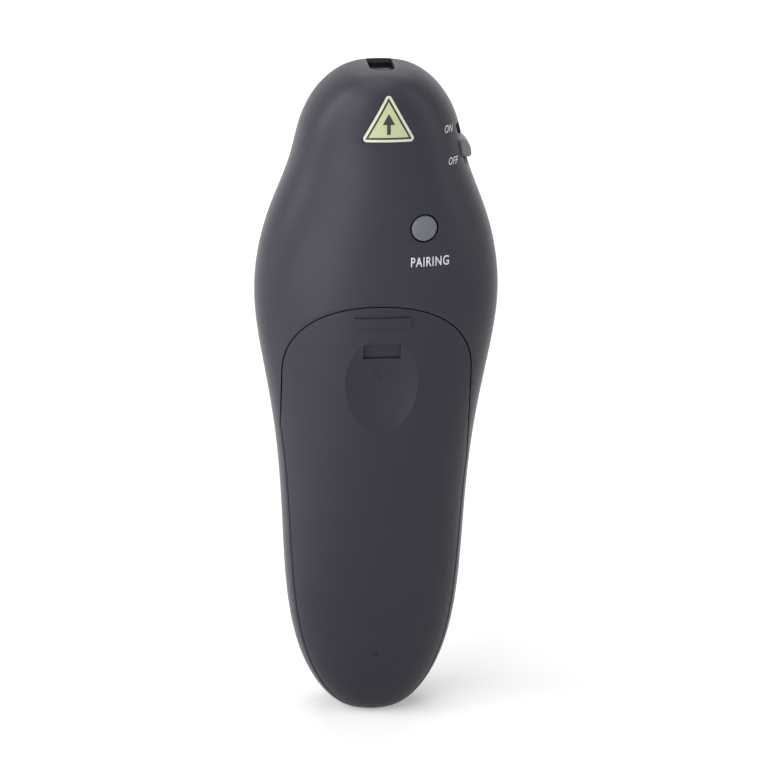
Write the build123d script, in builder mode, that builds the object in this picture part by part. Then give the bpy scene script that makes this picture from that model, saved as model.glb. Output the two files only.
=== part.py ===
"""Wireless presentation clicker, standing on its tail.

+Z runs from the tail foot to the nose, -Y is the underside with the battery door, +Y is the button side and
+X is the side with the power switch. The origin is the middle of the foot. Lengths are in millimetres.
"""

import os

from build123d import *

os.makedirs("parts", exist_ok=True)

# ---------------------------------------------------------------------------------------------------
# Driving dimensions
# ---------------------------------------------------------------------------------------------------

# Cross sections of the housing: height, half width, depth of the underside, depth of the button side.
body_sections = [
    (0.0, 3.2, 3.5, 3.5),
    (1.6, 7.1, 5.9, 5.8),
    (4.0, 9.2, 7.1, 6.9),
    (8.0, 11.4, 8.1, 7.9),
    (14.0, 13.3, 8.9, 8.8),
    (24.0, 14.7, 9.6, 9.5),
    (36.0, 15.4, 10.2, 10.2),
    (48.0, 16.4, 10.8, 11.0),
    (60.0, 18.3, 11.4, 11.6),
    (74.0, 20.1, 11.9, 11.8),
    (88.0, 17.5, 12.0, 11.2),
    (96.0, 14.5, 11.9, 10.1),
    (104.0, 12.3, 11.4, 8.4),
    (109.0, 9.0, 10.2, 6.2),
    (111.2, 6.0, 8.2, 4.0),
    (112.0, 3.2, 6.0, 2.2),
]
section_roundness = 0.62  # handle length of each quarter of a section, 0.55 would be an ellipse
section_power = 2.23  # the same roundness written as the power of a superellipse

wall = 1.5
running_gap = 0.3  # between a moving piece and its neighbours
seat_gap = 0.25  # between the housing and the mouldings inside it
close_gap = 0.05  # between two pieces that are fixed together

# Parting line between the two housing shells
parting_y = 2.0
shadow_gap = 0.25

# Battery door, in front of a flat seam and below an arch
seam_y = -4.4
seam_gap = 0.2  # round the arch
side_seam_gap = 0.45
arch_x = -0.4
arch_half_width = 15.45
arch_rise = 12.35
arch_room = 6.95  # from the tray's nose end to the crown of the arch
bulkhead_wall = 1.3
ridge_half_width = 4.6
ridge_height = 1.7
ridge_drop = 2.65  # below the crown, as are the two drops that follow
ridge_rise = 0.35
nail_slot_half_width = 3.05
nail_slot_height = 2.6
nail_slot_drop = 7.7
nail_slot_depth = 1.3
nail_slot_wall = 0.8
dish_drop = 14.8
dish_half_width = 10.0
dish_half_height = 11.1
dish_half_thickness = 3.0
dish_depth = 1.0
dish_wall = 1.0
arrow_half_width = 1.5
arrow_height = 2.0
arrow_lift = 1.9  # tip above the middle of the dish
arrow_depth = 0.1
gate_mark_z = 12.0
gate_mark_radius = 0.5
gate_mark_depth = 0.15
latch_half_width = 4.0
latch_thickness = 1.0
latch_reach = 2.2
latch_root = 6.0
latch_drop = 0.6

# Two AAA cells side by side
cell_radius = 5.25
cell_length = 44.5
cell_spacing = 10.9
cell_axis_y = -1.5
cell_gap = 0.2  # around the cells in their trough
cell_edge = 0.5
cell_nub_radius = 1.9
cell_nub_height = 1.0
contact_thickness = 0.4
contact_half_width = 3.6
contact_half_height = 2.1
spring_length = 3.3
spring_radius = 2.8
spring_wire_radius = 0.25
spring_turns = 3

# Tray that holds the cells
tray_wall = 0.8
tray_end_wall = 1.2
tray_start_z = 17.3
tray_side_start_z = 28.0
tray_front_y = -3.9
tray_deck = 2.0
deck_margin = 2.0  # past the bulkhead
ledge_length = 8.0
ledge_web = 0.8
ledge_flange = 1.9
ledge_thickness = 0.8
rib_thickness = 0.8

# Screws that hold the tray to the button-side shell
screw_shank_radius = 0.8
screw_head_radius = 1.6
screw_head_height = 1.2
screw_length = 7.0
screw_boss_radius = 2.0
screw_boss_gap = 0.2  # to the trough and, twice over, to the board
screw_slot_length = 2.2
screw_slot_width = 0.4
screw_slot_depth = 0.5
side_screw_drop = 3.95  # below the nose end of the cells
tail_screw_z = 9.0

# Circuit board and what stands on it
board_thickness = 1.0
board_tail_inset = 8.7  # above the tail end of the cells
board_nose_inset = 8.5
tact_base = 4.5
tact_base_height = 1.2
tact_plunger_radius = 1.0
tact_plunger_height = 0.4
chip_thickness = 0.9
chip_chamfer = 0.15
radio_chip_size = 5.0
radio_chip_lift = 11.0  # above the tail end of the board
control_chip_size = 6.0
control_chip_x = -4.0
control_chip_lift = 20.0
crystal_x = 5.0
crystal_width = 3.2
crystal_height = 5.0
capacitor_rows_x = (-7.0, -5.0, 5.0, 7.0)
capacitor_pitch = 3.0
capacitor_width = 0.8
capacitor_height = 1.6
capacitor_thickness = 0.6
antenna_half_width = 4.0
antenna_inset = 1.0
antenna_height = 3.0
antenna_lift = 1.6
antenna_thickness = 0.3
antenna_leg = 0.8
led_width = 1.6
led_height = 0.8

# Buttons
button_travel = 0.4
button_rise = 0.5
flange_lip = 0.9
flange_thickness = 0.8
stem_radius = 1.2
stem_gap = 0.1  # left over a switch at full travel
page_button_x = 5.6
page_button_width = 8.4
page_button_height = 13.0
page_button_corner = 3.0
laser_button_inset = 22.0  # below the nose
laser_button_radius = 4.6
page_button_spacing = 6.9  # from the laser button
blank_button_spacing = 8.5  # from the page buttons
blank_button_width = 9.0
blank_button_height = 5.0
pairing_x = 6.5
pairing_lift = 13.1  # above the crown of the arch
pairing_radius = 2.05
pairing_rise = 0.12

# Power switch
slot_y = -2.2
slot_inset = 12.8  # below the nose
slot_height = 6.7
slot_width = 5.0
knob_height = 3.0
knob_end_gap = 1.2  # under the knob when it is off
knob_rise = 0.95
knob_lean = 0.5  # drop of the dome's peak below its middle
knob_step = 0.45  # height of the dome's tail end over the skin
knob_plate_inset = 2.9
knob_plate_thickness = 0.7
knob_plate_half_height = 2.3
knob_plate_lip = 0.5
knob_groove_radius = 0.14
knob_groove_places = (0.26, 0.38, 0.5, 0.62, 0.74)  # shares of the dome's arc
knob_corner = 0.5
knob_edge = 0.4
lever_height = 1.6
lever_width = 1.2
case_gap = 0.4  # to the laser's holder
case_height = 8.0
case_depth = 3.8
case_back = 2.4  # solid part of the case behind the lever
pin_radius = 0.35
pin_pitch = 2.5

# Laser
laser_y = -3.0
barrel_radius = 3.0
barrel_bore_radius = 2.1
barrel_length = 11.0
barrel_gap = 1.4  # to the window
lens_thickness = 1.2
lens_setback = 1.8
lens_chamfer = 0.3
window_half_width = 2.05
window_front = 3.3  # from the laser's axis towards the underside
window_recess = 0.7
window_thickness = 0.9
holder_wall = 0.8
holder_height = 5.0

# Marker plate at the nose, a triangle with rounded corners
marker_x = 0.5
marker_nose_inset = 2.6
marker_height = 7.8
marker_half_width = 4.45
marker_corner = 0.55
marker_depth = 0.3

# Status lamp
lamp_spacing = 3.9  # from the laser button
lamp_pipe_radius = 0.9
lamp_pipe_flange_radius = 1.5
lamp_pipe_flange = 0.6

# ---------------------------------------------------------------------------------------------------
# Places worked out from the dimensions
# ---------------------------------------------------------------------------------------------------

length = body_sections[-1][0]
reach = 4 * wall + max(section[1] for section in body_sections)  # past every outer face

cell_x = cell_spacing / 2
cell_back_y = cell_axis_y + cell_radius
tray_back_y = cell_back_y + cell_gap + tray_wall
tray_half_width = cell_x + cell_radius + cell_gap + tray_wall
deck_back_y = tray_front_y + tray_deck
board_y = tray_back_y + seat_gap
board_top_y = board_y + board_thickness
tact_height = tact_base_height + tact_plunger_height

tail_contact_z = tray_start_z + contact_thickness
right_cell_z = tail_contact_z + close_gap
left_cell_z = tail_contact_z + spring_length
nose_contact_z = left_cell_z + cell_length + close_gap
tray_end_z = nose_contact_z + contact_thickness
tray_tail_z = tray_start_z - tray_end_wall
tray_nose_z = tray_end_z + tray_end_wall

arch_top_z = tray_nose_z + arch_room
arch_shoulder_z = arch_top_z - arch_rise
deck_top_z = arch_top_z + seam_gap + bulkhead_wall + deck_margin
ridge_z = arch_top_z - ridge_drop
nail_slot_z = arch_top_z - nail_slot_drop
dish_z = arch_top_z - dish_drop
arrow_tip_z = dish_z + arrow_lift
latch_high_z = arch_top_z + latch_reach

side_screw_x = tray_half_width + screw_boss_gap + screw_boss_radius
side_screw_z = tray_end_z - side_screw_drop
board_half_width = side_screw_x - screw_boss_radius - 2 * screw_boss_gap
board_low_z = tray_start_z + board_tail_inset
board_high_z = length - board_nose_inset

laser_button_z = length - laser_button_inset
page_button_z = laser_button_z - laser_button_radius - page_button_spacing - page_button_height / 2
blank_button_z = page_button_z - page_button_height / 2 - blank_button_spacing - blank_button_height / 2
lamp_z = laser_button_z + laser_button_radius + lamp_spacing
pairing_z = arch_top_z + pairing_lift

slot_z = length - slot_inset
slot_low_z, slot_high_z = slot_z - slot_height / 2, slot_z + slot_height / 2
knob_low_z = slot_low_z + knob_end_gap
knob_high_z = knob_low_z + knob_height
knob_z = (knob_low_z + knob_high_z) / 2
knob_travel = slot_high_z - running_gap - knob_high_z

window_high_z = length - window_recess
window_low_z = window_high_z - window_thickness
barrel_high_z = window_low_z - barrel_gap
barrel_low_z = barrel_high_z - barrel_length
lens_z = barrel_high_z - lens_setback - lens_thickness
holder_half_width = barrel_radius + holder_wall
marker_high_z = length - marker_nose_inset
marker_low_z = marker_high_z - marker_height


def body_size(height):
    """Half width, underside depth and button-side depth of the housing at a height."""
    for low, high in zip(body_sections, body_sections[1:]):
        if height <= high[0]:
            share = (height - low[0]) / (high[0] - low[0])
            return [a + share * (b - a) for a, b in zip(low[1:], high[1:])]
    return list(body_sections[-1][1:])


def skin_depth(x, height, top_side, inset=0.0):
    """Distance of the housing's skin, or of a skin inset from it, from the plane y = 0."""
    half_width, under, top = body_size(height)
    depth = (top if top_side else under) - inset
    share = min(abs(x) / (half_width - inset), 1.0)
    return depth * (1 - share**section_power) ** (1 / section_power)


# ---------------------------------------------------------------------------------------------------
# Forms that several pieces are cut from
# ---------------------------------------------------------------------------------------------------


def rounded_quarter(start, end, middle):
    """Bezier quarter from start to end that leaves and arrives square to the axes through its middle."""
    (x0, y0), (x1, y1), (xm, ym) = start, end, middle
    first = (x0 + section_roundness * (x1 - xm), y0 + section_roundness * (y1 - ym))
    second = (x1 + section_roundness * (x0 - xm), y1 + section_roundness * (y0 - ym))
    Bezier(start, first, second, end)


def hull(inset):
    """The housing's outer form, drawn in by an inset on every side."""
    with BuildPart() as form:
        for height, half_width, under, top in body_sections:
            z = inset + height * (length - 2 * inset) / length
            x, front, back = half_width - inset, inset - under, top - inset
            with BuildSketch(Plane.XY.offset(z)):
                with BuildLine():
                    rounded_quarter((x, 0), (0, back), (0, 0))
                    rounded_quarter((0, back), (-x, 0), (0, 0))
                    rounded_quarter((-x, 0), (0, front), (0, 0))
                    rounded_quarter((0, front), (x, 0), (0, 0))
                make_face()
        loft()
    return form.part


def face_plane(y):
    """Drawing plane at a given y, with +X to the right and +Z up, facing the underside."""
    return Plane.XZ.offset(-y)


def arch_prism(grow, back_y):
    """Everything in front of back_y and inside the door's arch, grown by a gap."""
    half, rise = arch_half_width + grow, arch_top_z - arch_shoulder_z + grow
    left, right = (arch_x - half, arch_shoulder_z), (arch_x + half, arch_shoulder_z)
    middle, crown = (arch_x, arch_shoulder_z), (arch_x, arch_shoulder_z + rise)
    with BuildPart() as prism:
        with BuildSketch(face_plane(back_y)):
            with BuildLine():
                Polyline(left, (left[0], -reach), (right[0], -reach), right)
                rounded_quarter(right, crown, middle)
                rounded_quarter(crown, left, middle)
            make_face()
        extrude(amount=reach)
    return prism.part


def moved(form, y):
    """A form moved along Y."""
    return form.moved(Location((0, y, 0)))


def block(x_range, y_range, z_range, mode=Mode.ADD):
    """A box between two values on each axis."""
    centre = [(low + high) / 2 for low, high in (x_range, y_range, z_range)]
    size = [high - low for low, high in (x_range, y_range, z_range)]
    with Locations(tuple(centre)):
        Box(*size, mode=mode)


def rod_along_y(x, z, radius, y_range, mode=Mode.ADD):
    """A round rod or hole that runs along Y."""
    with Locations(Location((x, sum(y_range) / 2, z), (90, 0, 0))):
        Cylinder(radius, y_range[1] - y_range[0], mode=mode)


def rod_along_z(y, radius, z_range, mode=Mode.ADD):
    """A round rod or hole that runs along Z on the middle plane."""
    with Locations((0, y, sum(z_range) / 2)):
        Cylinder(radius, z_range[1] - z_range[0], mode=mode)


def save(builder, name):
    """Label a finished piece and write its STEP file."""
    builder.part.label = name
    export_step(builder.part, f"parts/{name}.step")


outer = hull(0)
cavity = hull(wall)
mid_wall = hull(wall / 2)
core = hull(wall + seat_gap)


# ---------------------------------------------------------------------------------------------------
# Footprints of the buttons: each draws itself about its own centre, grown by a gap
# ---------------------------------------------------------------------------------------------------


def page_footprint(grow):
    RectangleRounded(page_button_width + 2 * grow, page_button_height + 2 * grow, page_button_corner + grow)


def laser_footprint(grow):
    Circle(laser_button_radius + grow)


def blank_footprint(grow):
    height = blank_button_height + 2 * grow
    SlotOverall(blank_button_width + 2 * grow, height)


def pairing_footprint(grow):
    Circle(pairing_radius + grow)


top_buttons = {
    "previous_button": (-page_button_x, page_button_z, page_footprint),
    "next_button": (page_button_x, page_button_z, page_footprint),
    "laser_button": (0, laser_button_z, laser_footprint),
    "blank_button": (0, blank_button_z, blank_footprint),
}


def footprint_prism(x, z, footprint, grow, top_side):
    """The footprint extruded from the middle plane out through one side of the housing."""
    with BuildPart() as prism:
        with BuildSketch(face_plane(0)):
            with Locations((x, z)):
                footprint(grow)
        extrude(amount=-reach if top_side else reach)
    return prism.part


# ---------------------------------------------------------------------------------------------------
# Marker plate: a thin triangle let into the underside of the nose
# ---------------------------------------------------------------------------------------------------


def marker_prism(grow):
    with BuildPart() as prism:
        with BuildSketch(face_plane(0)):
            with BuildLine():
                Polyline(
                    (marker_x - marker_half_width, marker_low_z),
                    (marker_x + marker_half_width, marker_low_z),
                    (marker_x, marker_high_z),
                    close=True,
                )
            make_face()
            fillet(vertices(), marker_corner)
            if grow:
                offset(amount=grow)
        extrude(amount=reach)
    return prism.part


with BuildPart() as marker_plate:
    add(marker_prism(0))
    add(outer, mode=Mode.INTERSECT)
    add(moved(outer, marker_depth), mode=Mode.SUBTRACT)
save(marker_plate, "marker_plate")

# ---------------------------------------------------------------------------------------------------
# Bottom shell: the underside of the housing, open where the battery door goes
# ---------------------------------------------------------------------------------------------------

def window_prism(inset, z_range):
    """The laser's window, round at the underside and square at the parting line, drawn in by an inset."""
    half = window_half_width - inset
    round_y = laser_y - window_front + window_half_width
    with BuildPart() as prism:
        rod_along_z(round_y, half, z_range)
        block((-half, half), (round_y, parting_y - inset), z_range)
    return prism.part


with BuildPart() as bulkhead:
    add(arch_prism(seam_gap + bulkhead_wall, tray_front_y))
    add(arch_prism(seam_gap, tray_front_y), mode=Mode.SUBTRACT)
    add(mid_wall, mode=Mode.INTERSECT)

with BuildPart() as marker_recess:
    add(marker_prism(close_gap))
    add(moved(outer, -marker_depth), mode=Mode.INTERSECT)
    add(moved(outer, marker_depth), mode=Mode.SUBTRACT)

latch_front_y = -skin_depth(0, arch_top_z, False, wall) + latch_drop

with BuildPart() as bottom_shell:
    add(outer)
    add(cavity, mode=Mode.SUBTRACT)
    add(arch_prism(seam_gap, seam_y + side_seam_gap), mode=Mode.SUBTRACT)
    add(bulkhead.part)
    block((-reach, reach), (parting_y, reach), (-wall, length + wall), mode=Mode.SUBTRACT)
    block((-reach, reach), (-reach, reach), (-wall, 0), mode=Mode.SUBTRACT)
    # pocket that takes the door's latch tongue
    block(
        (-latch_half_width - running_gap, latch_half_width + running_gap),
        (latch_front_y - running_gap, latch_front_y + latch_thickness + running_gap),
        (arch_top_z - bulkhead_wall, arch_top_z + seam_gap + 2 * bulkhead_wall),
        mode=Mode.SUBTRACT,
    )
    # slot for the power knob
    block((holder_half_width, reach), (slot_y - slot_width / 2, slot_y + slot_width / 2),
          (slot_low_z, slot_high_z), mode=Mode.SUBTRACT)
    add(window_prism(0, (length - 2 * wall, length + wall)), mode=Mode.SUBTRACT)
    add(footprint_prism(pairing_x, pairing_z, pairing_footprint, running_gap, False), mode=Mode.SUBTRACT)
    add(marker_recess.part, mode=Mode.SUBTRACT)
save(bottom_shell, "bottom_shell")

# ---------------------------------------------------------------------------------------------------
# Top shell: the button side, with a shadow line at the parting and bosses for the tray screws
# ---------------------------------------------------------------------------------------------------

screw_places = [(-side_screw_x, side_screw_z), (side_screw_x, side_screw_z), (0, tail_screw_z)]

with BuildPart() as screw_bosses:
    for x, z in screw_places:
        rod_along_y(x, z, screw_boss_radius, (deck_back_y, reach))
    add(mid_wall, mode=Mode.INTERSECT)

# inner half of the wall, which meets the bottom shell and leaves the shadow line outside
with BuildPart() as parting_step:
    add(mid_wall)
    add(cavity, mode=Mode.SUBTRACT)
    block((-reach, reach), (-reach, parting_y), (-wall, length + wall), mode=Mode.SUBTRACT)
    block((-reach, reach), (parting_y + 2 * shadow_gap, reach), (-wall, length + wall), mode=Mode.SUBTRACT)

with BuildPart() as top_shell:
    add(outer)
    add(cavity, mode=Mode.SUBTRACT)
    block((-reach, reach), (-reach, parting_y + shadow_gap), (-wall, length + wall), mode=Mode.SUBTRACT)
    block((-reach, reach), (-reach, reach), (-wall, 0), mode=Mode.SUBTRACT)
    for x, z, footprint in top_buttons.values():
        add(footprint_prism(x, z, footprint, running_gap, True), mode=Mode.SUBTRACT)
    add(screw_bosses.part)
    for x, z in screw_places:
        shank_end = tray_front_y + screw_head_height + screw_length
        rod_along_y(x, z, screw_shank_radius, (-reach, shank_end), mode=Mode.SUBTRACT)
    rod_along_y(0, lamp_z, lamp_pipe_radius + close_gap, (0, reach), mode=Mode.SUBTRACT)
    add(parting_step.part)
save(top_shell, "top_shell")

# ---------------------------------------------------------------------------------------------------
# Battery door: slides off towards the tail
# ---------------------------------------------------------------------------------------------------

dish_y = -skin_depth(0, dish_z, False) - (dish_half_thickness - dish_depth)


def dish_form(grow):
    """The flattened ball that the thumb dish is cut with, grown by a wall."""
    with BuildPart() as ball:
        Sphere(1)
        scale(by=(dish_half_width + grow, dish_half_thickness + grow, dish_half_height + grow))
    return ball.part.moved(Location((0, dish_y, dish_z)))


thumb_dish = dish_form(0)
nail_slot_floor_y = -skin_depth(0, nail_slot_z, False) + nail_slot_depth
nail_slot_low_z, nail_slot_high_z = nail_slot_z - nail_slot_height / 2, nail_slot_z + nail_slot_height / 2

# the wall behind the dish and the nail slot
with BuildPart() as dish_backing:
    add(dish_form(dish_wall))
    block(
        (-nail_slot_half_width - nail_slot_wall, nail_slot_half_width + nail_slot_wall),
        (-reach, nail_slot_floor_y + nail_slot_wall),
        (nail_slot_low_z - nail_slot_wall, nail_slot_high_z + nail_slot_wall),
    )
    add(outer, mode=Mode.INTERSECT)

# arrow in the dish, pointing the way the door slides
with BuildPart() as dish_arrow:
    with BuildSketch(face_plane(dish_y + dish_half_thickness + wall)):
        with BuildLine():
            Polyline(
                (-arrow_half_width, arrow_tip_z + arrow_height),
                (arrow_half_width, arrow_tip_z + arrow_height),
                (0, arrow_tip_z),
                close=True,
            )
        make_face()
    extrude(amount=2 * wall)
    add(moved(thumb_dish, arrow_depth), mode=Mode.INTERSECT)

with BuildPart() as grip_ridge:
    add(moved(outer, -ridge_rise))
    add(cavity, mode=Mode.SUBTRACT)
    block(
        (-ridge_half_width, ridge_half_width),
        (-reach, -wall),
        (ridge_z - ridge_height / 2, ridge_z + ridge_height / 2),
        mode=Mode.INTERSECT,
    )

ledge_low_z = tray_end_z - ledge_length
ledge_inner_x = tray_half_width - ledge_web
ledge_outer_x = tray_half_width + ledge_flange - ledge_web
rib_front_y = seam_y - running_gap - rib_thickness
ledge_back_y = rib_front_y - running_gap

with BuildPart() as door_ribs:
    for side in (-1, 1):
        rib_x = sorted((side * (tray_half_width + running_gap), side * reach))
        block(rib_x, (rib_front_y, seam_y - running_gap), (ledge_low_z, tray_end_z))
    add(mid_wall, mode=Mode.INTERSECT)
    add(arch_prism(0, seam_y), mode=Mode.INTERSECT)

with BuildPart() as battery_door:
    add(outer)
    add(cavity, mode=Mode.SUBTRACT)
    add(arch_prism(0, seam_y), mode=Mode.INTERSECT)
    add(grip_ridge.part)
    add(door_ribs.part)
    # latch tongue, carried by a block under the crown
    block(
        (-latch_half_width, latch_half_width),
        (latch_front_y, latch_front_y + latch_thickness),
        (arch_top_z - latch_root, latch_high_z),
    )
    block(
        (-latch_half_width, latch_half_width),
        (latch_front_y - latch_drop - wall / 2, latch_front_y + latch_thickness / 2),
        (arch_top_z - latch_root, arch_top_z - latch_root / 2),
    )
    add(dish_backing.part)
    add(thumb_dish, mode=Mode.SUBTRACT)
    add(dish_arrow.part, mode=Mode.SUBTRACT)
    block(
        (-nail_slot_half_width, nail_slot_half_width),
        (-reach, nail_slot_floor_y),
        (nail_slot_low_z, nail_slot_high_z),
        mode=Mode.SUBTRACT,
    )
    gate_mark_y = -skin_depth(0, gate_mark_z, False)
    rod_along_y(0, gate_mark_z, gate_mark_radius, (gate_mark_y - wall, gate_mark_y + gate_mark_depth),
                mode=Mode.SUBTRACT)
    block((-reach, reach), (-reach, reach), (-wall, 0), mode=Mode.SUBTRACT)
save(battery_door, "battery_door")

# ---------------------------------------------------------------------------------------------------
# Battery tray: a deck that closes the bay, a trough for the cells and two ledges for the door's ribs
# ---------------------------------------------------------------------------------------------------

trough_half = tray_half_width - tray_wall

with BuildPart() as battery_tray:
    block((-reach, reach), (tray_front_y, deck_back_y), (2 * wall, deck_top_z))
    block((-tray_half_width, tray_half_width), (deck_back_y, tray_back_y), (tray_tail_z, tray_nose_z))
    block((-trough_half, trough_half), (-reach, tray_back_y - tray_wall), (tray_start_z, tray_end_z),
          mode=Mode.SUBTRACT)
    # the sides of the trough stop where the housing narrows to the tail
    for side in (-1, 1):
        side_x = sorted((side * trough_half, side * reach))
        block(side_x, (deck_back_y, tray_back_y - tray_wall), (0, tray_side_start_z), mode=Mode.SUBTRACT)
    # ledges
    for side in (-1, 1):
        web_x = sorted((side * ledge_inner_x, side * tray_half_width))
        flange_x = sorted((side * ledge_inner_x, side * ledge_outer_x))
        block(web_x, (ledge_back_y - ledge_thickness, tray_front_y), (ledge_low_z, tray_end_z))
        block(flange_x, (ledge_back_y - ledge_thickness, ledge_back_y), (ledge_low_z, tray_end_z))
    # screw holes with room for the flush heads
    for x, z in screw_places:
        rod_along_y(x, z, screw_shank_radius + close_gap, (-reach, deck_back_y), mode=Mode.SUBTRACT)
        rod_along_y(x, z, screw_head_radius + close_gap, (-reach, tray_front_y + screw_head_height),
                    mode=Mode.SUBTRACT)
    add(core, mode=Mode.INTERSECT)
save(battery_tray, "battery_tray")

head_y = tray_front_y + screw_head_height
cross_y_range = (tray_front_y, tray_front_y + screw_slot_depth)
with BuildPart() as tray_screws:
    for x, z in screw_places:
        rod_along_y(x, z, screw_head_radius, (tray_front_y, head_y))
        rod_along_y(x, z, screw_shank_radius, (head_y, head_y + screw_length))
        for width, height in ((screw_slot_length, screw_slot_width), (screw_slot_width, screw_slot_length)):
            block((x - width / 2, x + width / 2), cross_y_range, (z - height / 2, z + height / 2),
                  mode=Mode.SUBTRACT)
save(tray_screws, "tray_screws")

# ---------------------------------------------------------------------------------------------------
# Cells and their contacts
# ---------------------------------------------------------------------------------------------------


def aaa_cell(x, low_z, nub_up):
    """One cell: a rounded can with its nub at one end."""
    body_length = cell_length - cell_nub_height
    body_low = low_z if nub_up else low_z + cell_nub_height
    nub_z = low_z + body_length if nub_up else low_z
    with BuildPart() as cell:
        with Locations((x, cell_axis_y, body_low + body_length / 2)):
            Cylinder(cell_radius, body_length)
        fillet(cell.edges().filter_by(GeomType.CIRCLE), cell_edge)
        with Locations((x, cell_axis_y, nub_z + cell_nub_height / 2)):
            Cylinder(cell_nub_radius, cell_nub_height)
    return cell


save(aaa_cell(-cell_x, left_cell_z, True), "cell_left")
save(aaa_cell(cell_x, right_cell_z, False), "cell_right")


def contact_plate(x_low, x_high, low_z):
    """Flat spring-steel plate across a cell's end."""
    y_range = (cell_axis_y - contact_half_height, cell_axis_y + contact_half_height)
    block((x_low, x_high), y_range, (low_z, low_z + contact_thickness))


with BuildPart() as bridge_contact:
    contact_plate(-cell_x - contact_half_width, cell_x + contact_half_width, tray_start_z)
save(bridge_contact, "bridge_contact")

with BuildPart() as positive_contact:
    contact_plate(-cell_x - contact_half_width, -cell_x + contact_half_width, nose_contact_z)
save(positive_contact, "positive_contact")

with BuildPart() as negative_contact:
    contact_plate(cell_x - contact_half_width, cell_x + contact_half_width, nose_contact_z)
save(negative_contact, "negative_contact")


def coil_spring(x, low_z, height):
    """Compression spring between a contact plate and a cell's flat end."""
    run = height - 2 * spring_wire_radius
    with BuildPart() as spring:
        with BuildLine():
            path = Helix(run / spring_turns, run, spring_radius,
                         center=(x, cell_axis_y, low_z + spring_wire_radius))
        with BuildSketch(Plane(origin=path @ 0, z_dir=path % 0)):
            Circle(spring_wire_radius)
        sweep(is_frenet=True)
    return spring.part


right_spring_z = right_cell_z + cell_length
with BuildPart() as cell_springs:
    add(coil_spring(-cell_x, tail_contact_z, spring_length))
    add(coil_spring(cell_x, right_spring_z, nose_contact_z - right_spring_z))
save(cell_springs, "cell_springs")

# ---------------------------------------------------------------------------------------------------
# Circuit board with its parts
# ---------------------------------------------------------------------------------------------------

with BuildPart() as circuit_board:
    block((-board_half_width, board_half_width), (board_y, board_top_y), (board_low_z, board_high_z))
    add(core, mode=Mode.INTERSECT)
save(circuit_board, "circuit_board")


def board_part(x, z, width, height, thickness):
    """A block on the board's button side."""
    block((x - width / 2, x + width / 2), (board_top_y, board_top_y + thickness),
          (z - height / 2, z + height / 2))


radio_chip_z = board_low_z + radio_chip_lift
control_chip_z = board_low_z + control_chip_lift
for name, x, z, width, height in (
    ("radio_chip", 0, radio_chip_z, radio_chip_size, radio_chip_size),
    ("control_chip", control_chip_x, control_chip_z, control_chip_size, control_chip_size),
    ("crystal_can", crystal_x, control_chip_z, crystal_width, crystal_height),
):
    with BuildPart() as chip:
        board_part(x, z, width, height, chip_thickness)
        chamfer(chip.faces().sort_by(Axis.Y)[-1].edges(), chip_chamfer)
    save(chip, name)

with BuildPart() as capacitors:
    for x in capacitor_rows_x:
        for z in (radio_chip_z - capacitor_pitch / 2, radio_chip_z + capacitor_pitch / 2):
            board_part(x, z, capacitor_width, capacitor_height, capacitor_thickness)
save(capacitors, "capacitors")

antenna_low_z = board_low_z + antenna_inset
antenna_y = board_top_y + antenna_lift
with BuildPart() as antenna:
    block((-antenna_half_width, antenna_half_width), (antenna_y, antenna_y + antenna_thickness),
          (antenna_low_z, antenna_low_z + antenna_height))
    for x in (-antenna_half_width, 0):
        block((x, x + antenna_leg), (board_top_y, antenna_y),
              (antenna_low_z, antenna_low_z + antenna_thickness))
save(antenna, "antenna")


def tact_switch(x, z, face_y, outward):
    """Square base with a round plunger on one face of the board."""
    base_y = sorted((face_y, face_y + outward * tact_base_height))
    plunger_y = sorted((face_y + outward * tact_base_height, face_y + outward * tact_height))
    block((x - tact_base / 2, x + tact_base / 2), base_y, (z - tact_base / 2, z + tact_base / 2))
    rod_along_y(x, z, tact_plunger_radius, plunger_y)


with BuildPart() as tact_switches:
    for x, z, _ in top_buttons.values():
        tact_switch(x, z, board_top_y, 1)
save(tact_switches, "tact_switches")

with BuildPart() as pairing_switch:
    tact_switch(pairing_x, pairing_z, board_y, -1)
save(pairing_switch, "pairing_switch")

with BuildPart() as status_led:
    board_part(0, lamp_z, led_width, led_height, led_height)
save(status_led, "status_led")

pipe_low_y = board_top_y + led_height + close_gap
pipe_flange_y = skin_depth(0, lamp_z, True, wall) - lamp_pipe_flange
with BuildPart() as light_pipe:
    rod_along_y(0, lamp_z, lamp_pipe_radius, (pipe_low_y, reach))
    add(outer, mode=Mode.INTERSECT)
    rod_along_y(0, lamp_z, lamp_pipe_flange_radius, (pipe_low_y, pipe_flange_y))
save(light_pipe, "light_pipe")

# ---------------------------------------------------------------------------------------------------
# Buttons: a cap that follows the skin, a flange that keeps it in, and a stem over its switch
# ---------------------------------------------------------------------------------------------------


def press_button(name, x, z, footprint, top_side, rise, stem_end_y):
    outward = 1 if top_side else -1
    flange_top = moved(cavity, -outward * running_gap)
    flange_base = moved(cavity, -outward * (running_gap + flange_thickness))
    stem_base_y = skin_depth(x, z, top_side, wall) - running_gap - flange_thickness / 2
    with BuildPart() as cap:
        add(footprint_prism(x, z, footprint, 0, top_side))
        add(moved(outer, outward * rise), mode=Mode.INTERSECT)
        add(flange_base, mode=Mode.SUBTRACT)
    with BuildPart() as flange:
        add(footprint_prism(x, z, footprint, flange_lip, top_side))
        add(flange_top, mode=Mode.INTERSECT)
        add(flange_base, mode=Mode.SUBTRACT)
    with BuildPart() as button:
        add(cap.part)
        add(flange.part)
        rod_along_y(x, z, stem_radius, sorted((outward * stem_base_y, stem_end_y)))
    save(button, name)


stem_end = tact_height + button_travel + stem_gap
for name, (x, z, footprint) in top_buttons.items():
    press_button(name, x, z, footprint, True, button_rise, board_top_y + stem_end)
press_button("pairing_button", pairing_x, pairing_z, pairing_footprint, False, pairing_rise, board_y - stem_end)

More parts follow.
